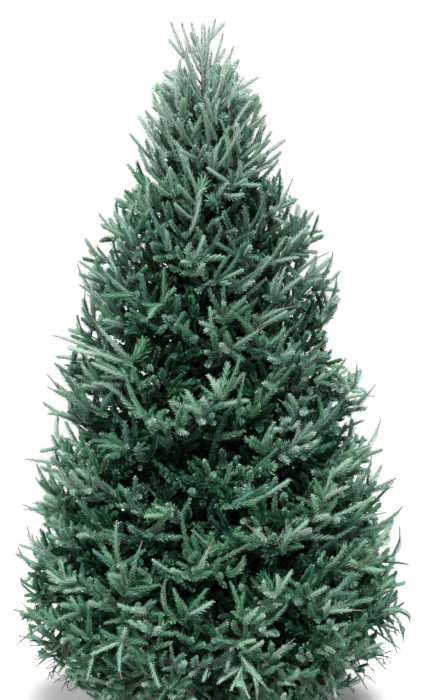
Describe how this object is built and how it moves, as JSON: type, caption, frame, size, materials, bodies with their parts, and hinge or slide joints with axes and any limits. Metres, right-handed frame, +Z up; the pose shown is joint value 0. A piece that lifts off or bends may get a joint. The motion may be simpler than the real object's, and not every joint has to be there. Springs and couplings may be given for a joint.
{
  "type": "christmas tree",
  "caption": "Cut fir for Christmas: leaning tapered trunk, whorled boughs and dense masses of needle sprays up to a leader, on a crossed timber stand.",
  "frame": {"origin": "middle of the stand's flat underside, at floor level", "axes": "+Z up, from the stand to the tip of the leader; -Y is the side seen in the reference view"},
  "size_m": [1.3256, 1.3426, 2.3],
  "materials": {
    "bark": "rough bark",
    "needles": "waxy blue-green needles",
    "timber": "planed softwood"
  },
  "bodies": {
    "root": {"trunk": "bark", "stand_board_lower": "timber", "stand_board_upper": "timber", "stand_brace_1": "timber", "stand_brace_2": "timber", "stand_brace_3": "timber", "stand_brace_4": "timber", "bough_1_1": "bark", "bough_1_2": "bark", "bough_1_3": "bark", "bough_1_4": "bark", "bough_1_5": "bark", "bough_1_6": "bark", "bough_2_1": "bark", "bough_2_2": "bark", "bough_2_3": "bark", "bough_2_4": "bark", "bough_2_5": "bark", "bough_2_6": "bark", "bough_3_1": "bark", "bough_3_2": "bark", "bough_3_3": "bark", "bough_3_4": "bark", "bough_3_5": "bark", "foliage_1_1": "needles", "foliage_1_2": "needles", "foliage_1_3": "needles", "foliage_1_4": "needles", "foliage_1_5": "needles", "foliage_1_6": "needles", "foliage_2_1": "needles", "foliage_2_2": "needles", "foliage_2_3": "needles", "foliage_2_4": "needles", "foliage_2_5": "needles", "foliage_2_6": "needles", "foliage_3_1": "needles", "foliage_3_2": "needles", "foliage_3_3": "needles", "foliage_3_4": "needles", "foliage_3_5": "needles", "foliage_4_1": "needles", "foliage_4_2": "needles", "foliage_4_3": "needles", "foliage_4_4": "needles", "foliage_4_5": "needles", "foliage_5_1": "needles", "foliage_5_2": "needles", "foliage_5_3": "needles", "foliage_5_4": "needles", "foliage_6_1": "needles", "foliage_6_2": "needles", "foliage_6_3": "needles", "foliage_6_4": "needles", "foliage_7_1": "needles", "foliage_7_2": "needles", "foliage_7_3": "needles", "foliage_7_4": "needles", "foliage_leader": "needles"}
  },
  "joints": []
}
